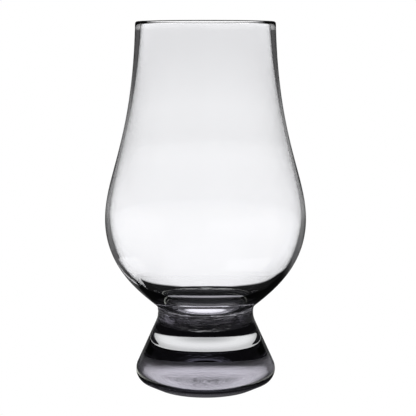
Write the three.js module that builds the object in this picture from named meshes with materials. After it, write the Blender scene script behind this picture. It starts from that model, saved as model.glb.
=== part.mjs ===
// Tulip-shaped whisky nosing glass: a blown bowl joined hot, at the waist, to a pressed solid foot.
// Millimetres, +Z up. The origin is on the axis, at the table.
import * as THREE from 'three';

// Foot, from the table up
const BASE_RADIUS = 16.7; // outside of the ring that stands on the table
const RECESS_RADIUS = 13.5; // hollow under the foot, inside that ring
const RECESS_DEPTH = 1.5;
const FOOT_RADIUS = 22.2; // widest circle of the foot
const FOOT_EDGE_HEIGHT = 5.0; // height of that circle
const EDGE_ROUND = 3.9; // rounding below it
const EDGE_TURN = 46; // degrees that this rounding turns, down to the crease of the bevel
const SHOULDER_ROUND = 5.0; // rounding above it
const WAIST_RADIUS = 15.1; // narrowest circle, where bowl and foot are joined
const WAIST_HEIGHT = 23.6;
const WAIST_ROUND = 8.0; // hollow curve through the waist

// Outside of the bowl
const CREASE_LEAN = 9; // degrees from upright where the waist ends in a crease
const CREASE_ROUND = 2.4;
const UNDERSIDE_LEAN = 49.4; // degrees from upright
const UNDERSIDE_RUN = 2.2; // straight length of the underside
const UNDERSIDE_PULL = 7.2; // length of the curve's handle at its lower end
const BELLY_RADIUS = 31.6;
const BELLY_HEIGHT = 53.3;
const BELLY_PULL_BELOW = 13.2;
const BELLY_PULL_ABOVE = 14.0;
const CHIMNEY_PULL = 36.5;
const CHIMNEY_LEAN = 0.029; // inward slope of the chimney at the rim
const MOUTH_RADIUS = 21.7;
const HEIGHT = 115; // table to rim

// Inside of the bowl
const RIM_WALL = 1.45;
const BELLY_WALL = 1.15;
const BELLY_DEPTH_RISE = 0.7; // the inside is widest a little above the outside
const FLOOR_THICKNESS = 2.0; // glass of the bowl above the joint
const FLOOR_PULL = 19.5;
const INNER_PULL_BELOW = 14.5;
const INNER_PULL_ABOVE = 11.5;
const INNER_CHIMNEY_PULL = 32.1;
const INNER_CHIMNEY_LEAN = 0.05;

// Facets
const SIDES = 64;
const FINE = 10; // steps along the long curves of the bowl
const MEDIUM = 6;
const COARSE = 3;

const RIGHT_ANGLE = Math.PI / 2;

function line(fromX, fromZ, toX, toZ) {
  return new THREE.LineCurve(new THREE.Vector2(fromX, fromZ), new THREE.Vector2(toX, toZ));
}

function arc(centre, radius, from, to) {
  return new THREE.EllipseCurve(centre.x, centre.y, radius, radius, from, to, to < from);
}

function bezier(start, startHandle, endHandle, end) {
  return new THREE.CubicBezierCurve(start, startHandle, endHandle, end);
}

// Points along a chain of curves, each with its own number of steps
function outline(stretches) {
  const points = [stretches[0][0].getPoint(0)];
  for (const [curve, steps] of stretches) {
    points.push(...curve.getPoints(steps).slice(1));
  }
  return points;
}

function revolve(name, points, material) {
  const geometry = new THREE.LatheGeometry(points, SIDES);
  geometry.rotateX(RIGHT_ANGLE);
  const mesh = new THREE.Mesh(geometry, material);
  mesh.name = name;
  return mesh;
}

function crystal() {
  return new THREE.MeshStandardMaterial({
    color: 0xf1f2f6,
    roughness: 0.02,
    metalness: 0,
    transparent: true,
    opacity: 0.35,
  });
}

const waistCentre = new THREE.Vector2(WAIST_RADIUS + WAIST_ROUND, WAIST_HEIGHT);

// Angle of the normal to the line that touches two circles, the second from its far side.
// reach is the sum of their radii along that normal.
function tangentAngle(fromCentre, toCentre, reach) {
  const between = toCentre.clone().sub(fromCentre);
  return Math.atan2(between.y, between.x) - Math.acos(reach / between.length());
}

function footPoints() {
  const recessBend = (RECESS_RADIUS ** 2 + RECESS_DEPTH ** 2) / (2 * RECESS_DEPTH);
  const recessCentre = new THREE.Vector2(0, RECESS_DEPTH - recessBend);
  const recessEnd = Math.acos(RECESS_RADIUS / recessBend);

  // Bevel from the standing ring up to the rounding under the widest circle, which it meets in a crease
  const edgeCentre = new THREE.Vector2(FOOT_RADIUS - EDGE_ROUND, FOOT_EDGE_HEIGHT);
  const edge = arc(edgeCentre, EDGE_ROUND, -THREE.MathUtils.degToRad(EDGE_TURN), 0);
  const bevelTop = edge.getPoint(0);

  // Straight flank that touches the shoulder's rounding and the waist's hollow
  const shoulderCentre = new THREE.Vector2(FOOT_RADIUS - SHOULDER_ROUND, FOOT_EDGE_HEIGHT);
  const flankNormal = tangentAngle(shoulderCentre, waistCentre, SHOULDER_ROUND + WAIST_ROUND);
  const shoulder = arc(shoulderCentre, SHOULDER_ROUND, 0, flankNormal);
  const flankFoot = shoulder.getPoint(1);
  const hollow = arc(waistCentre, WAIST_ROUND, Math.PI + flankNormal, Math.PI);
  const flankTop = hollow.getPoint(0);

  return outline([
    [arc(recessCentre, recessBend, RIGHT_ANGLE, recessEnd), MEDIUM],
    [line(RECESS_RADIUS, 0, BASE_RADIUS, 0), 1],
    [line(BASE_RADIUS, 0, bevelTop.x, bevelTop.y), 1],
    [edge, MEDIUM],
    [shoulder, COARSE],
    [line(flankFoot.x, flankFoot.y, flankTop.x, flankTop.y), 1],
    [hollow, MEDIUM],
    [line(WAIST_RADIUS, WAIST_HEIGHT, 0, WAIST_HEIGHT), 1],
  ]);
}

function bowlPoints() {
  const creaseLean = THREE.MathUtils.degToRad(CREASE_LEAN);
  const undersideLean = THREE.MathUtils.degToRad(UNDERSIDE_LEAN);

  // Upper half of the waist's hollow, the crease and the straight underside
  const hollow = arc(waistCentre, WAIST_ROUND, Math.PI, Math.PI - creaseLean);
  const creaseInset = new THREE.Vector2(Math.cos(creaseLean), -Math.sin(creaseLean));
  const creaseCentre = hollow.getPoint(1).addScaledVector(creaseInset, CREASE_ROUND);
  const crease = arc(creaseCentre, CREASE_ROUND, Math.PI - creaseLean, Math.PI - undersideLean);
  const undersideFoot = crease.getPoint(1);
  const outAndUp = new THREE.Vector2(Math.sin(undersideLean), Math.cos(undersideLean));
  const undersideTop = undersideFoot.clone().addScaledVector(outAndUp, UNDERSIDE_RUN);

  // Outer belly and chimney, up to the polished rim
  const rimRound = RIM_WALL / 2;
  const rimStart = HEIGHT - rimRound;
  const belly = new THREE.Vector2(BELLY_RADIUS, BELLY_HEIGHT);
  const mouth = new THREE.Vector2(MOUTH_RADIUS, rimStart);
  const lowerBelly = bezier(
    undersideTop,
    undersideTop.clone().addScaledVector(outAndUp, UNDERSIDE_PULL),
    new THREE.Vector2(BELLY_RADIUS, BELLY_HEIGHT - BELLY_PULL_BELOW),
    belly,
  );
  const chimney = bezier(
    belly,
    new THREE.Vector2(BELLY_RADIUS, BELLY_HEIGHT + BELLY_PULL_ABOVE),
    new THREE.Vector2(MOUTH_RADIUS + CHIMNEY_LEAN * CHIMNEY_PULL, rimStart - CHIMNEY_PULL),
    mouth,
  );
  const rim = arc(new THREE.Vector2(MOUTH_RADIUS - rimRound, rimStart), rimRound, 0, Math.PI);

  // The same line inside, down to the floor
  const innerMouth = MOUTH_RADIUS - RIM_WALL;
  const innerBelly = new THREE.Vector2(BELLY_RADIUS - BELLY_WALL, BELLY_HEIGHT + BELLY_DEPTH_RISE);
  const floor = WAIST_HEIGHT + FLOOR_THICKNESS;
  const innerChimney = bezier(
    new THREE.Vector2(innerMouth, rimStart),
    new THREE.Vector2(innerMouth + INNER_CHIMNEY_LEAN * INNER_CHIMNEY_PULL, rimStart - INNER_CHIMNEY_PULL),
    new THREE.Vector2(innerBelly.x, innerBelly.y + INNER_PULL_ABOVE),
    innerBelly,
  );
  const innerFloor = bezier(
    innerBelly,
    new THREE.Vector2(innerBelly.x, innerBelly.y - INNER_PULL_BELOW),
    new THREE.Vector2(FLOOR_PULL, floor),
    new THREE.Vector2(0, floor),
  );

  return outline([
    [line(0, WAIST_HEIGHT, WAIST_RADIUS, WAIST_HEIGHT), 1],
    [hollow, COARSE],
    [crease, COARSE],
    [line(undersideFoot.x, undersideFoot.y, undersideTop.x, undersideTop.y), 1],
    [lowerBelly, FINE],
    [chimney, FINE],
    [rim, MEDIUM],
    [innerChimney, FINE],
    [innerFloor, FINE],
  ]);
}

const glass = new THREE.Group();
glass.add(revolve('foot', footPoints(), crystal()));
glass.add(revolve('bowl', bowlPoints(), crystal()));

export default glass;
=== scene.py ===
import math

import bpy
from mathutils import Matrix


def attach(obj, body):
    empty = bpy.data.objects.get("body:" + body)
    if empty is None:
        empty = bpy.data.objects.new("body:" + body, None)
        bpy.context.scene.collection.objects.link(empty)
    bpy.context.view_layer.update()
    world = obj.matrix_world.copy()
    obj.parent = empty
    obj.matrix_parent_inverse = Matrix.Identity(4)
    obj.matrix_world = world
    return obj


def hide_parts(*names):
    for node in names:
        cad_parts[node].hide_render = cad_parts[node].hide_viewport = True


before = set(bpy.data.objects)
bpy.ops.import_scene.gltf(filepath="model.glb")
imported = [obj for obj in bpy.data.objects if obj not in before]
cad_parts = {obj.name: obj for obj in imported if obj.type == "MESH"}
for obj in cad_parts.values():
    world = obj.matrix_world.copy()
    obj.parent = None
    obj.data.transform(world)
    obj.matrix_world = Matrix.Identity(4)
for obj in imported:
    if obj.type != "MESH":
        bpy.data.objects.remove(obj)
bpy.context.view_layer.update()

MM = 0.001

# Sizes of the glass in millimetres, from the table up
FOOT = {
    "Recess radius": 13.5,
    "Recess depth": 1.5,
    "Base radius": 16.7,
    "Foot radius": 22.2,
    "Foot edge height": 5.0,
    "Edge round": 3.9,
    "Shoulder round": 5.0,
    "Waist radius": 15.1,
    "Waist height": 23.6,
    "Waist round": 8.0,
}
BOWL = {
    "Crease round": 2.4,
    "Underside run": 2.2,
    "Underside pull": 7.2,
    "Belly radius": 31.6,
    "Belly height": 53.3,
    "Belly pull below": 13.2,
    "Belly pull above": 14.0,
    "Chimney pull": 36.5,
    "Mouth radius": 21.7,
    "Height": 115.0,
    "Rim wall": 1.45,
    "Belly wall": 1.15,
    "Belly depth rise": 0.7,
    "Floor thickness": 2.0,
    "Floor pull": 19.5,
    "Inner pull below": 14.5,
    "Inner pull above": 11.5,
    "Inner chimney pull": 32.1,
}
# How far the edge's rounding turns, leans from upright, and the chimney's slopes at the rim
EDGE_TURN = math.radians(46.0)
CREASE_LEAN = math.radians(9.0)
UNDERSIDE_LEAN = math.radians(49.4)
CHIMNEY_LEAN = 0.029
INNER_CHIMNEY_LEAN = 0.05

# Fine rings that the shaping tool leaves round the waist
TOOL_MARKS = {
    "Tool mark depth": 0.2,
    "Tool mark spacing": 0.8,
    "Tool mark middle": 23.4,
    "Tool mark reach": 3.2,
}
MARK_CHANGE = 4  # how quickly the rings change on the way round
MARK_DETAIL = 2.0
MARKED_FROM = 0.97  # only outside this share of the waist's radius

# Sides round the axis, and steps along each stretch of the half section
SIDES = 160
STEPS = {
    "recess": 24, "ring": 12, "bevel": 60, "edge": 20, "shoulder": 16, "flank": 24, "hollow": 60,
    "waist": 24, "crease": 24, "underside": 6, "belly": 44, "chimney": 50, "rim": 12,
    "inner chimney": 50, "floor": 70,
}
SEAM = 0.002 * MM  # points nearer than this are joined

# Crystal: colours, and pairs of heights or radii between which a finish or the painted shade at the waist
# fades in
CRYSTAL_INDEX = 1.52
CLEAR = (0.955, 0.957, 0.965, 1)
WAIST_SHADE_COLOUR = (0.1, 0.09, 0.11, 1)
BODY_COLOUR = (0.923, 0.917, 0.941, 1)
BODY_DENSITY = 100.0
GROUND_ROUGH = 0.35
GROUND_BELOW = (2.0 * MM, 1.7 * MM)
GROUND_INSIDE = (16.7 * MM, 16.3 * MM)
MOTTLE_SCALE = 300.0
MOTTLE_DETAIL = 3.0
MOTTLE_DEPTH = 0.3 * MM
JOINT_ROUGH = 0.1
JOINT_ABOVE = (19.5 * MM, 21.5 * MM)
JOINT_BELOW = (26.4 * MM, 25.4 * MM)
JOINT_OUTSIDE = (14.0 * MM, 14.8 * MM)
# Painted shade: a dark tint mixed into the glass's colour round the waist, standing in for the dark the
# waist shows
WAIST_SHADE_STRENGTH = 0.8
WAIST_SHADE_ABOVE = (18.0 * MM, 19.5 * MM)
WAIST_SHADE_BELOW = (24.4 * MM, 23.6 * MM)

# Stage: lengths in metres, angles in plan in degrees, and levels as pairs of place and brightness.
# It tells light apart by how many surfaces the light has met on its way through the glass.
WHITE = (1, 1, 1, 1)
DARK = 0.01
# Directions that the glass is looked through: brightness, half angles of full light and of its end
FIELDS = (
    (90, 1.0, 16, 26),
    (135, 1.0, 7, 13),
    (180, 1.0, 14, 26),
    (315, 1.0, 14, 26),
)

WALL_DISTANCE = 0.8
WALL_HEIGHT = 0.9
WALL_LEVELS = [(0, 1.11), (0.04, 1.12), (0.06, 1.08), (0.1, 1.0), (0.9, 0.96)]
# How the fields brighten towards their sides: degrees aside and brightness
SIDE_LEVELS = [(21, 1.6), (16, 1.47), (13, 1.33), (11, 1.23), (9, 1.11), (7, 1.04), (5, 1.0), (0, 1.0)]
EDGE_FIELD = (48, 40)
EDGE_DIRECT = [(0, 0.65), (0.05, 0.6), (0.08, 0.52), (0.11, 0.42), (0.125, 0.2), (0.15, 0.13)]
EDGE_MIRRORED = [(0, 0.6), (0.05, 0.45), (0.1, 0.3), (0.17, 0.22), (0.22, 0.16), (0.3, 0.12)]
MOUTH_FIELD = (48, 32)
MOUTH_LEVELS = [(0.0, 1.0), (0.3, 1.0), (0.34, 0.0)]
SURFACE_LIGHT = 0.1

TABLE_REACH = 3.0
TABLE_DROP = 0.02 * MM
SEEN_HIGH = (135,)  # directions that are looked along from higher up
NEAR_LOW = (0.054, 0.2)  # start and greatest half width of the lit strips
NEAR_HIGH = (0.034, 0.02)
NEAR_SOFT = 0.004
NEAR_FADE = (0.03, 0.05)
NEAR_LIGHT = 1.2
MIRROR_FROM = 0.1
MIRROR_SOFT = 0.01
MIRROR_CLOSER = 0.045
CLOSER_FIELD = (27, 19)
MIRROR_LEVELS = [(0.07, 1.25), (0.28, 1.25), (0.32, 1.19), (0.36, 1.11), (0.42, 1.08), (0.6, 1.04),
                 (0.7, 1.0), (0.8, 1.0)]
SPOT_LIGHT = 1.5
SPOT_WIDTH = 9.5 * MM
SPOT_DEPTH = 6 * MM
SPOT_BACK = 2 * MM
SPOT_EDGE = (1.15, 0.85)
UNDER_LIGHT = 0.03
UNDER_EDGE = (18.5 * MM, 16 * MM)
TOP_LIGHT = 0.7
BENEATH_EDGE = (20.5 * MM, 18.5 * MM)
AROUND_EDGE = (18.5 * MM, 20.5 * MM)
AROUND_END = (30.5 * MM, 28.5 * MM)

CARD_RADIUS = 30 * MM
CARD_HEIGHT = 7 * MM
CARD_COLOUR = (0.9, 0.88, 1, 1)
CARD_LIGHT = 0.012

STRIP_RADIUS = 25 * MM
STRIP_LOW = 2.0 * MM
STRIP_HIGH = 3.95 * MM
STRIP_COLOUR = (0.99, 1.02, 0.94, 1)
STRIP_LIGHT = 1.22
STRIP_FACED = ((90, 1.0), (135, 0.35), (180, 1.0), (315, 1.0))
# Brightness by how far a place lies towards the direction, and by height
STRIP_FADE = [(0.4, 0.0), (0.65, 0.25), (0.85, 0.6), (0.96, 0.95), (1.0, 1.0)]
STRIP_LEVELS = [(0.002, 0.62), (0.00222, 0.75), (0.00247, 0.9), (0.00285, 1.0), (0.00326, 0.98),
                (0.0036, 0.8), (0.00395, 0.6)]

BASE_LIGHT_RADIUS = 48 * MM
BASE_LIGHT_LOW = 3 * MM
BASE_LIGHT_HIGH = 34 * MM
BASE_LIGHT_COLOUR = (1.0, 0.99, 1.01, 1)
BASE_LIGHT_FACED = ((90, 24), (135, 4), (180, 22), (315, 24))  # direction and half angle
BASE_LIGHT_SOFT = 5
BASE_LIGHT_LEVELS = [(0.003, 0.0), (0.0095, 0.0), (0.0108, 1.1), (0.018, 1.12), (0.028, 1.2),
                     (0.029, 0.0), (0.034, 0.0)]
BASE_EDGE_LIGHT = 0.15
BASE_EDGE_RISE = (16 * MM, 32 * MM)
BOTTOM_LEVELS = [(0.003, 0.16), (0.0065, 0.16), (0.008, 0.02), (0.011, 0.02), (0.0116, 0.2),
                 (0.0124, 0.02), (0.017, 0.02), (0.02, 0.16), (0.034, 0.16)]

RING_PARTS = 96

ROOM_COLOUR = (0.9, 0.92, 1.0, 1)
ROOM_LIGHT = 0.012
CEILING_LIGHT = 0.15
CEILING_FROM = (0.68, 0.76)
CEILING_AFTER = 4.5  # only for light that has met more surfaces than this

CAMERA_PLACE = (0.00078, -0.4229, 0.12346)
CAMERA_DIP = 8.963
CAMERA_LENS = 117.71
CAMERA_SENSOR = 36


class Tree:
    """A node tree with short ways to add nodes and sums."""

    def __init__(self, tree):
        self.tree = tree

    def node(self, kind, *inputs, **settings):
        made = self.tree.nodes.new(kind)
        for name, value in settings.items():
            setattr(made, name, value)
        for socket, value in zip(made.inputs, inputs):
            self.feed(socket, value)
        return made

    def feed(self, socket, value):
        if value is None:
            return
        if isinstance(value, bpy.types.NodeSocket):
            self.tree.links.new(value, socket)
        else:
            socket.default_value = value

    def calc(self, operation, *values):
        return self.node("ShaderNodeMath", *values, operation=operation).outputs[0]

    def add(self, a, b):
        return self.calc("ADD", a, b)

    def less(self, a, b):
        return self.calc("SUBTRACT", a, b)

    def times(self, a, b):
        return self.calc("MULTIPLY", a, b)

    def most(self, a, b):
        return self.calc("MAXIMUM", a, b)

    def point(self, x, y, z=0.0):
        return self.node("ShaderNodeCombineXYZ", x, y, z).outputs[0]

    def shift(self, point, direction, length):
        scaled = self.node("ShaderNodeVectorMath", direction, operation="SCALE")
        self.feed(scaled.inputs["Scale"], length)
        return self.node("ShaderNodeVectorMath", point, scaled.outputs[0], operation="ADD").outputs[0]

    def fade(self, value, none, full):
        """0 at the first place, 1 at the second, and a soft step between."""
        made = self.node("ShaderNodeMapRange", value, none, full, 0.0, 1.0, interpolation_type="SMOOTHSTEP")
        return made.outputs[0]

    def level(self, value, stops):
        """A stepless brightness from pairs of place and brightness."""
        low, high = stops[0][0], stops[-1][0]
        share = self.node("ShaderNodeMapRange", value, low, high, 0.0, 1.0).outputs[0]
        ramp = self.node("ShaderNodeValToRGB", share)
        elements = ramp.color_ramp.elements
        while len(elements) < len(stops):
            elements.new(0.5)
        for element, (place, brightness) in zip(elements, stops):
            element.position = (place - low) / (high - low)
            element.color = (brightness, brightness, brightness, 1)
        return ramp.outputs[0]

    def place(self):
        """The shaded point's x, y and z on its own object."""
        coords = self.node("ShaderNodeTexCoord").outputs["Object"]
        return self.node("ShaderNodeSeparateXYZ", coords).outputs

    def from_axis(self, x, y):
        return self.calc("SQRT", self.add(self.times(x, x), self.times(y, y)))


class Outline(Tree):
    """The glass's half section, drawn as a chain of curves: x is the radius, y the height."""

    def __init__(self, tree):
        super().__init__(tree)
        self.stretches = []

    def line(self, start, end, steps):
        self.bezier(start, start, end, end, steps)

    def bezier(self, start, start_handle, end_handle, end, steps):
        kind = "GeometryNodeCurvePrimitiveBezierSegment"
        made = self.node(kind, steps, start, start_handle, end_handle, end)
        self.stretches.append(made.outputs[0])

    def arc(self, centre, radius, start, sweep, steps):
        made = self.node("GeometryNodeCurveArc", mode="RADIUS")
        self.feed(made.inputs["Resolution"], steps + 1)
        self.feed(made.inputs["Radius"], radius)
        self.feed(made.inputs["Start Angle"], start)
        self.feed(made.inputs["Sweep Angle"], sweep)
        moved = self.node("GeometryNodeTransform", made.outputs[0])
        self.feed(moved.inputs["Translation"], centre)
        self.stretches.append(moved.outputs[0])

    def points(self):
        """All the chain's points, in order from the middle of the base to the middle of the floor."""
        whole = None
        for stretch in self.stretches:
            dots = self.node("GeometryNodeCurveToPoints", stretch, mode="EVALUATED").outputs[0]
            if whole is None:
                whole = dots
                continue
            joined = self.node("GeometryNodeJoinGeometry")
            self.tree.links.new(dots, joined.inputs[0])
            self.tree.links.new(whole, joined.inputs[0])
            whole = joined.outputs[0]
        return whole


def flank_angle():
    """Angle of the normal to the straight flank that touches the foot's shoulder and the waist's hollow."""
    across = FOOT["Waist radius"] + FOOT["Waist round"] - FOOT["Foot radius"] + FOOT["Shoulder round"]
    rise = FOOT["Waist height"] - FOOT["Foot edge height"]
    reach = FOOT["Shoulder round"] + FOOT["Waist round"]
    return math.atan2(rise, across) - math.acos(reach / math.hypot(across, rise))


def outward(angle):
    return math.cos(angle), math.sin(angle), 0


def draw_foot(o, size):
    """Hollow under the foot, standing ring, bevel, rounded edge, flank and the waist's lower half."""
    recess, depth = size["Recess radius"], size["Recess depth"]
    recess_edge = o.point(recess, 0.0)
    inner_handle = o.point(o.times(recess, 1 / 3), depth)
    outer_handle = o.point(o.times(recess, 2 / 3), o.times(depth, 2 / 3))
    o.bezier(o.point(0.0, depth), inner_handle, outer_handle, recess_edge, STEPS["recess"])
    base = o.point(size["Base radius"], 0.0)
    o.line(recess_edge, base, STEPS["ring"])

    edge_centre = o.point(o.less(size["Foot radius"], size["Edge round"]), size["Foot edge height"])
    bevel_top = o.shift(edge_centre, outward(-EDGE_TURN), size["Edge round"])
    o.line(base, bevel_top, STEPS["bevel"])
    o.arc(edge_centre, size["Edge round"], -EDGE_TURN, EDGE_TURN, STEPS["edge"])

    flank = flank_angle()
    shoulder_x = o.less(size["Foot radius"], size["Shoulder round"])
    shoulder_centre = o.point(shoulder_x, size["Foot edge height"])
    o.arc(shoulder_centre, size["Shoulder round"], 0.0, flank, STEPS["shoulder"])
    shoulder_top = o.shift(shoulder_centre, outward(flank), size["Shoulder round"])
    waist_centre = o.point(o.add(size["Waist radius"], size["Waist round"]), size["Waist height"])
    flank_top = o.shift(waist_centre, outward(math.pi + flank), size["Waist round"])
    o.line(shoulder_top, flank_top, STEPS["flank"])
    o.arc(waist_centre, size["Waist round"], math.pi + flank, -flank, STEPS["hollow"])
    return waist_centre


def draw_underside(o, size, waist_centre):
    """The waist's upper half, the crease and the straight start of the bowl."""
    o.arc(waist_centre, size["Waist round"], math.pi, -CREASE_LEAN, STEPS["waist"])
    crease_reach = o.less(size["Waist round"], size["Crease round"])
    crease_centre = o.shift(waist_centre, outward(math.pi - CREASE_LEAN), crease_reach)
    turn = CREASE_LEAN - UNDERSIDE_LEAN
    o.arc(crease_centre, size["Crease round"], math.pi - CREASE_LEAN, turn, STEPS["crease"])
    foot = o.shift(crease_centre, outward(math.pi - UNDERSIDE_LEAN), size["Crease round"])
    out_and_up = (math.sin(UNDERSIDE_LEAN), math.cos(UNDERSIDE_LEAN), 0)
    top = o.shift(foot, out_and_up, size["Underside run"])
    o.line(foot, top, STEPS["underside"])
    return top, o.shift(top, out_and_up, size["Underside pull"])


def draw_bowl(o, size, waist_centre):
    """The bowl from the waist over the belly and the rim, and down its inside to the floor."""
    underside_top, underside_handle = draw_underside(o, size, waist_centre)
    rim_round = o.times(size["Rim wall"], 0.5)
    rim_start = o.less(size["Height"], rim_round)
    belly_x, belly_y = size["Belly radius"], size["Belly height"]
    belly = o.point(belly_x, belly_y)
    below = o.point(belly_x, o.less(belly_y, size["Belly pull below"]))
    o.bezier(underside_top, underside_handle, below, belly, STEPS["belly"])
    above = o.point(belly_x, o.add(belly_y, size["Belly pull above"]))
    chimney_x = o.add(size["Mouth radius"], o.times(size["Chimney pull"], CHIMNEY_LEAN))
    chimney = o.point(chimney_x, o.less(rim_start, size["Chimney pull"]))
    o.bezier(belly, above, chimney, o.point(size["Mouth radius"], rim_start), STEPS["chimney"])
    rim_centre = o.point(o.less(size["Mouth radius"], rim_round), rim_start)
    o.arc(rim_centre, rim_round, 0.0, math.pi, STEPS["rim"])

    mouth_x = o.less(size["Mouth radius"], size["Rim wall"])
    inner_x = o.less(belly_x, size["Belly wall"])
    inner_y = o.add(belly_y, size["Belly depth rise"])
    inner_belly = o.point(inner_x, inner_y)
    inner_chimney_x = o.add(mouth_x, o.times(size["Inner chimney pull"], INNER_CHIMNEY_LEAN))
    inner_chimney = o.point(inner_chimney_x, o.less(rim_start, size["Inner chimney pull"]))
    inner_above = o.point(inner_x, o.add(inner_y, size["Inner pull above"]))
    o.bezier(o.point(mouth_x, rim_start), inner_chimney, inner_above, inner_belly, STEPS["inner chimney"])
    inner_below = o.point(inner_x, o.less(inner_y, size["Inner pull below"]))
    floor = o.add(size["Waist height"], size["Floor thickness"])
    floor_handle = o.point(size["Floor pull"], floor)
    o.bezier(inner_belly, inner_below, floor_handle, o.point(0.0, floor), STEPS["floor"])


def tool_marks(o, size, radius, height, turn):
    """How far the surface stands out at the waist: shallow uneven rings that fade above and below."""
    away = o.calc("DIVIDE", o.less(height, size["Tool mark middle"]), size["Tool mark reach"])
    fade = o.most(o.less(1.0, o.calc("POWER", away, 2.0)), 0.0)
    uneven = o.node("ShaderNodeTexNoise", noise_dimensions="3D")
    round_x = o.times(o.calc("COSINE", turn), MARK_CHANGE)
    round_y = o.times(o.calc("SINE", turn), MARK_CHANGE)
    rings = o.calc("DIVIDE", height, size["Tool mark spacing"])
    o.feed(uneven.inputs["Vector"], o.point(round_x, round_y, rings))
    o.feed(uneven.inputs["Scale"], 1.0)
    o.feed(uneven.inputs["Detail"], MARK_DETAIL)
    outside = o.calc("GREATER_THAN", radius, o.times(size["Waist radius"], MARKED_FROM))
    wave = o.times(o.less(uneven.outputs[0], 0.5), 2.0)
    return o.times(o.times(o.times(wave, fade), outside), size["Tool mark depth"])


def revolve(o, section, size, material):
    """Turns the section's points round the axis and closes the seam and both poles."""
    counted = o.node("GeometryNodeAttributeDomainSize", section, component="POINTCLOUD")
    count = counted.outputs["Point Count"]
    rows = o.less(count, 1.0)
    grid = o.node("GeometryNodeMeshGrid", rows, float(SIDES), count, SIDES + 1)
    on_grid = o.node("ShaderNodeSeparateXYZ", o.node("GeometryNodeInputPosition").outputs[0]).outputs
    row = o.calc("ROUND", o.add(on_grid[0], o.times(rows, 0.5)))
    turn = o.times(o.add(on_grid[1], SIDES / 2), 2 * math.pi / SIDES)

    sample = o.node("GeometryNodeSampleIndex", data_type="FLOAT_VECTOR", domain="POINT")
    o.feed(sample.inputs["Geometry"], section)
    o.feed(sample.inputs["Value"], o.node("GeometryNodeInputPosition").outputs[0])
    o.feed(sample.inputs["Index"], row)
    radius, height, _ = o.node("ShaderNodeSeparateXYZ", sample.outputs[0]).outputs
    marked = o.add(radius, tool_marks(o, size, radius, height, turn))

    x, y = o.times(marked, o.calc("COSINE", turn)), o.times(marked, o.calc("SINE", turn))
    turned = o.node("GeometryNodeSetPosition", grid.outputs[0], None, o.point(x, y, height))
    closed = o.node("GeometryNodeMergeByDistance", turned.outputs[0])
    o.feed(closed.inputs["Distance"], SEAM)
    facing_out = o.node("GeometryNodeFlipFaces", closed.outputs[0])
    smooth = o.node("GeometryNodeSetShadeSmooth", facing_out.outputs[0])
    real = o.node("GeometryNodeRealizeInstances", smooth.outputs[0])
    return o.node("GeometryNodeSetMaterial", real.outputs[0], None, material).outputs[0]


def glass_tree(material):
    """The whole glass from its named sizes."""
    tree = bpy.data.node_groups.new("turned_glass", "GeometryNodeTree")
    sizes = {**FOOT, **BOWL, **TOOL_MARKS}
    for name in sizes:
        tree.interface.new_socket(name, in_out="INPUT", socket_type="NodeSocketFloat")
    tree.interface.new_socket("Geometry", in_out="OUTPUT", socket_type="NodeSocketGeometry")
    outline = Outline(tree)
    given = outline.node("NodeGroupInput").outputs
    draw_bowl(outline, given, draw_foot(outline, given))
    outline.node("NodeGroupOutput", revolve(outline, outline.points(), given, material))
    return tree, sizes


def build_glass(material):
    tree, sizes = glass_tree(material)
    blank = bpy.data.objects.new("glass_blank", bpy.data.meshes.new("glass_blank"))
    bpy.context.scene.collection.objects.link(blank)
    modifier = blank.modifiers.new("turned", "NODES")
    modifier.node_group = tree
    for socket in tree.interface.items_tree:
        if socket.in_out == "INPUT":
            modifier[socket.identifier] = sizes[socket.name] * MM
    evaluated = blank.evaluated_get(bpy.context.evaluated_depsgraph_get())
    mesh = bpy.data.meshes.new_from_object(evaluated)
    bpy.data.objects.remove(blank)
    made = bpy.data.objects.new("crystal_glass", mesh)
    bpy.context.scene.collection.objects.link(made)
    return made


def crystal():
    """Clear crystal with a faint cool body, a ground mottled base and painted shade: a dark tint round the
    waist's joint.
    """
    material = bpy.data.materials.new("clear_crystal")
    material.use_nodes = True
    shader = material.node_tree.nodes["Principled BSDF"].inputs
    shader["IOR"].default_value = CRYSTAL_INDEX
    shader["Transmission Weight"].default_value = 1.0
    t = Tree(material.node_tree)
    coords = t.node("ShaderNodeTexCoord").outputs["Object"]
    x, y, height = t.node("ShaderNodeSeparateXYZ", coords).outputs
    radius = t.from_axis(x, y)
    ground = t.times(t.fade(height, *GROUND_BELOW), t.fade(radius, *GROUND_INSIDE))
    outside = t.fade(radius, *JOINT_OUTSIDE)
    joint = t.times(t.times(t.fade(height, *JOINT_ABOVE), t.fade(height, *JOINT_BELOW)), outside)
    # Painted shade round the waist's joint, outside the hollow's radius
    painted_waist_shade = t.times(t.times(t.fade(height, *WAIST_SHADE_ABOVE), t.fade(height, *WAIST_SHADE_BELOW)), outside)

    mottle = t.node("ShaderNodeTexNoise")
    t.feed(mottle.inputs["Vector"], coords)
    t.feed(mottle.inputs["Scale"], MOTTLE_SCALE)
    t.feed(mottle.inputs["Detail"], MOTTLE_DETAIL)
    bump = t.node("ShaderNodeBump")
    t.feed(bump.inputs["Strength"], 1.0)
    t.feed(bump.inputs["Distance"], MOTTLE_DEPTH)
    t.feed(bump.inputs["Height"], t.times(mottle.outputs[0], ground))
    t.feed(shader["Normal"], bump.outputs[0])
    t.feed(shader["Roughness"], t.add(t.times(ground, GROUND_ROUGH), t.times(joint, JOINT_ROUGH)))

    # The clear colour, darkened round the waist by the painted shade
    tint = t.node("ShaderNodeMix", data_type="RGBA")
    t.feed(tint.inputs["Factor"], t.times(painted_waist_shade, WAIST_SHADE_STRENGTH))
    t.feed(tint.inputs[6], CLEAR)
    t.feed(tint.inputs[7], WAIST_SHADE_COLOUR)
    t.feed(shader["Base Color"], tint.outputs[2])
    body = t.node("ShaderNodeVolumeAbsorption", BODY_COLOUR, BODY_DENSITY)
    t.feed(material.node_tree.nodes["Material Output"].inputs["Volume"], body.outputs[0])
    return material


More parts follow.
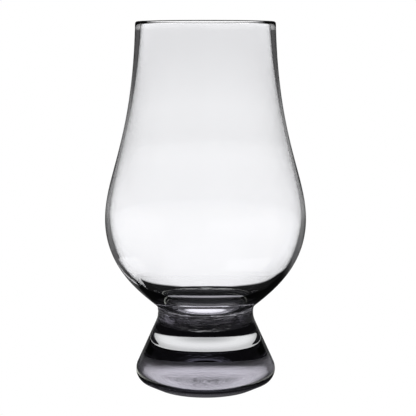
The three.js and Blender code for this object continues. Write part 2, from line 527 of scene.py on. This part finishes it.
def stage_material(name):
    material = bpy.data.materials.new(name)
    material.use_nodes = True
    material.node_tree.nodes.clear()
    return material, Tree(material.node_tree)


def seen_white(t, light):
    """White where the camera looks straight at it, and the given light for rays that pass the glass."""
    path = t.node("ShaderNodeLightPath").outputs
    white = t.node("ShaderNodeEmission", WHITE, 1.0)
    return t.node("ShaderNodeMixShader", path["Is Camera Ray"], light, white.outputs[0]).outputs[0]


def is_count(t, value, count):
    """1 where the value is that whole number, else 0."""
    return t.calc("COMPARE", value, float(count), 0.5)


def only_after(t, surfaces):
    """1 for light that has met that many surfaces, else 0."""
    return is_count(t, t.node("ShaderNodeLightPath").outputs["Ray Depth"], surfaces)


def towards(t, place, degrees, distance):
    """How far a place at that distance lies towards a direction in plan: 1 ahead, 0 at a right angle."""
    angle = math.radians(degrees)
    ahead = t.add(t.times(place[0], math.cos(angle)), t.times(place[1], math.sin(angle)))
    return t.times(ahead, 1 / distance)


def cosine(degrees):
    return math.cos(math.radians(degrees))


def within(t, ahead, outer, full):
    """Fades in from the outer to the full half angle about a direction."""
    return t.fade(ahead, cosine(outer), cosine(full))


def sheet(name, corners, faces, material):
    mesh = bpy.data.meshes.new(name)
    mesh.from_pydata(corners, [], faces)
    mesh.materials.append(material)
    made = bpy.data.objects.new(name, mesh)
    bpy.context.scene.collection.objects.link(made)
    return made


def round_sheet(name, radius, low, high, material):
    turns = [2 * math.pi * k / RING_PARTS for k in range(RING_PARTS)]
    ring = [(math.cos(turn) * radius, math.sin(turn) * radius) for turn in turns]
    corners = [(x, y, low) for x, y in ring] + [(x, y, high) for x, y in ring]
    after = [(k + 1) % RING_PARTS for k in range(RING_PARTS)]
    faces = [(k, after[k], RING_PARTS + after[k], RING_PARTS + k) for k in range(RING_PARTS)]
    return sheet(name, corners, faces, material)


def near_strips(t, x, y):
    """Strips of the table that are bright where the low bowl is looked through."""
    field = 0.0
    for turn, light, _, _ in FIELDS:
        across, along = math.cos(math.radians(turn)), math.sin(math.radians(turn))
        ahead = t.add(t.times(x, across), t.times(y, along))
        aside = t.calc("ABSOLUTE", t.less(t.times(y, across), t.times(x, along)))
        start, widest = NEAR_HIGH if turn in SEEN_HIGH else NEAR_LOW
        half = t.calc("MINIMUM", t.less(ahead, start), widest)
        strip = t.fade(t.less(half, aside), -NEAR_SOFT, NEAR_SOFT)
        field = t.most(field, t.times(strip, light))
    return field


def table_light(t, x, y, radius):
    """The table's own light near the foot, by how many surfaces the light has met."""
    near = t.times(t.times(near_strips(t, x, y), t.fade(radius, *NEAR_FADE)), NEAR_LIGHT)
    near = t.times(near, only_after(t, 4))
    # A spot under the foot that the bowl's floor shows as a small bright lens
    across = t.calc("POWER", t.times(x, 1 / SPOT_WIDTH), 2.0)
    along = t.calc("POWER", t.times(t.less(y, SPOT_BACK), 1 / SPOT_DEPTH), 2.0)
    spot = t.fade(t.calc("SQRT", t.add(across, along)), *SPOT_EDGE)
    spot = t.times(spot, t.times(only_after(t, 3), SPOT_LIGHT))
    under = t.times(t.fade(radius, *UNDER_EDGE), UNDER_LIGHT)
    glow = t.most(t.add(near, t.most(spot, under)), DARK)
    # Seen from above: under the foot through the bowl's floor, and round it through both walls of the bowl
    beneath = t.times(t.fade(radius, *BENEATH_EDGE), only_after(t, 2))
    around = t.times(t.times(t.fade(radius, *AROUND_EDGE), t.fade(radius, *AROUND_END)), only_after(t, 4))
    return t.add(glow, t.times(t.add(beneath, around), TOP_LIGHT))


def table():
    """A pale table, white to the camera: a mirror further out, and lit near the foot."""
    material, t = stage_material("pale_table")
    place = t.place()
    x, y = place[0], place[1]
    radius = t.from_axis(x, y)
    shine = t.node("ShaderNodeEmission", WHITE, table_light(t, x, y, radius))
    mirror = t.node("ShaderNodeBsdfGlossy", t.level(radius, MIRROR_LEVELS))
    t.feed(mirror.inputs["Roughness"], 0.0)
    closer = 0.0
    for turn in SEEN_HIGH:
        ahead = t.calc("DIVIDE", towards(t, place, turn, 1.0), radius)
        closer = t.most(closer, within(t, ahead, *CLOSER_FIELD))
    reached = t.add(radius, t.times(closer, MIRROR_CLOSER))
    away = t.fade(reached, MIRROR_FROM, MIRROR_FROM + MIRROR_SOFT)
    light = t.node("ShaderNodeMixShader", away, shine.outputs[0], mirror.outputs[0])
    t.node("ShaderNodeOutputMaterial", seen_white(t, light.outputs[0]))
    signs = ((-1, -1), (1, -1), (1, 1), (-1, 1))
    corners = [(a * TABLE_REACH, b * TABLE_REACH, -TABLE_DROP) for a, b in signs]
    sheet("table", corners, [(0, 1, 2, 3)], material)


def wall():
    """A round studio wall, white to the camera, with bright upright fields behind the glass."""
    material, t = stage_material("studio_wall")
    place = t.place()
    height = place[2]
    field = edge = mouth = 0.0
    for turn, light, full, outer in FIELDS:
        ahead = towards(t, place, turn, WALL_DISTANCE)
        sides = t.level(ahead, [(cosine(aside), rise) for aside, rise in SIDE_LEVELS])
        field = t.most(field, t.times(t.times(within(t, ahead, outer, full), sides), light))
        edge = t.most(edge, within(t, ahead, *EDGE_FIELD))
        mouth = t.most(mouth, t.times(within(t, ahead, *MOUTH_FIELD), light))
    # Surfaces of the glass that the light has met, without the table's mirror
    path = t.node("ShaderNodeLightPath").outputs
    mirrored = path["Is Reflection Ray"]
    surfaces = t.less(path["Ray Depth"], mirrored)
    through_bowl = t.times(is_count(t, surfaces, 4), t.times(field, t.level(height, WALL_LEVELS)))
    direct = t.level(height, EDGE_DIRECT)
    tone = t.add(direct, t.times(t.less(t.level(height, EDGE_MIRRORED), direct), mirrored))
    along_wall = t.times(t.times(is_count(t, surfaces, 3), edge), tone)
    over_rim = t.times(t.times(is_count(t, surfaces, 2), mouth), t.level(height, MOUTH_LEVELS))
    off_surface = t.times(is_count(t, surfaces, 1), SURFACE_LIGHT)
    glow = t.add(t.add(t.add(through_bowl, along_wall), over_rim), off_surface)
    shine = t.node("ShaderNodeEmission", WHITE, t.most(glow, DARK))
    t.node("ShaderNodeOutputMaterial", seen_white(t, shine.outputs[0]))
    round_sheet("studio_wall", WALL_DISTANCE, 0.0, WALL_HEIGHT, material)


def dark_card():
    """A low dark ring of card that keeps the far light off the foot's edge, out of the camera's sight."""
    material, t = stage_material("dark_card")
    shine = t.node("ShaderNodeEmission", CARD_COLOUR, CARD_LIGHT)
    t.node("ShaderNodeOutputMaterial", shine.outputs[0])
    round_sheet("dark_card", CARD_RADIUS, 0.0, CARD_HEIGHT, material).visible_camera = False


def light_strip():
    """A low strip of light round the foot, out of the camera's sight, seen through the foot's edge."""
    material, t = stage_material("light_strip")
    place = t.place()
    field = 0.0
    for turn, light in STRIP_FACED:
        near = t.level(towards(t, place, turn, STRIP_RADIUS), STRIP_FADE)
        field = t.most(field, t.times(near, light))
    glow = t.times(t.times(field, t.level(place[2], STRIP_LEVELS)), STRIP_LIGHT)
    shine = t.node("ShaderNodeEmission", STRIP_COLOUR, glow)
    t.node("ShaderNodeOutputMaterial", shine.outputs[0])
    round_sheet("light_strip", STRIP_RADIUS, STRIP_LOW, STRIP_HIGH, material).visible_camera = False


def base_light():
    """A low ring of light round the foot, out of the camera's sight, that the foot's base mirrors."""
    material, t = stage_material("base_light")
    place = t.place()
    height = place[2]
    field = 0.0
    for turn, half in BASE_LIGHT_FACED:
        ahead = towards(t, place, turn, BASE_LIGHT_RADIUS)
        field = t.most(field, within(t, ahead, half + BASE_LIGHT_SOFT, half - BASE_LIGHT_SOFT))
    edge = t.times(t.fade(height, *BASE_EDGE_RISE), BASE_EDGE_LIGHT)
    mirrored = t.most(t.times(field, t.level(height, BASE_LIGHT_LEVELS)), edge)
    mirrored = t.times(mirrored, only_after(t, 3))
    passed = t.times(only_after(t, 2), t.level(height, BOTTOM_LEVELS))
    shine = t.node("ShaderNodeEmission", BASE_LIGHT_COLOUR, t.add(mirrored, passed))
    clear = t.node("ShaderNodeBsdfTransparent")
    lit = t.add(only_after(t, 2), only_after(t, 3))
    light = t.node("ShaderNodeMixShader", lit, clear.outputs[0], shine.outputs[0])
    t.node("ShaderNodeOutputMaterial", light.outputs[0])
    ring = round_sheet("base_light", BASE_LIGHT_RADIUS, BASE_LIGHT_LOW, BASE_LIGHT_HIGH, material)
    ring.visible_camera = False


def surroundings():
    """A dim room that the camera sees as white, with a faint ceiling deep in the glass."""
    world = bpy.data.worlds.new("studio")
    world.use_nodes = True
    bpy.context.scene.world = world
    world.node_tree.nodes.clear()
    t = Tree(world.node_tree)
    path = t.node("ShaderNodeLightPath").outputs
    up = t.node("ShaderNodeSeparateXYZ", t.node("ShaderNodeTexCoord").outputs["Generated"]).outputs[2]
    deep = t.calc("GREATER_THAN", path["Ray Depth"], CEILING_AFTER)
    ceiling = t.times(t.fade(up, *CEILING_FROM), t.times(deep, CEILING_LIGHT))
    dim = t.node("ShaderNodeBackground", ROOM_COLOUR, t.add(ceiling, ROOM_LIGHT))
    white = t.node("ShaderNodeBackground", WHITE, 1.0)
    mixed = t.node("ShaderNodeMixShader", path["Is Camera Ray"], dim.outputs[0], white.outputs[0])
    t.node("ShaderNodeOutputWorld", mixed.outputs[0])


def camera():
    lens = bpy.data.cameras.new("camera")
    lens.lens = CAMERA_LENS
    lens.sensor_width = CAMERA_SENSOR
    eye = bpy.data.objects.new("camera", lens)
    bpy.context.scene.collection.objects.link(eye)
    eye.location = CAMERA_PLACE
    eye.rotation_euler = (math.radians(90 - CAMERA_DIP), 0, 0)
    bpy.context.scene.camera = eye


glass = build_glass(crystal())
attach(glass, "root")
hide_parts("bowl", "foot")
table()
wall()
dark_card()
light_strip()
base_light()
surroundings()
camera()
bpy.context.scene.view_settings.view_transform = "Standard"
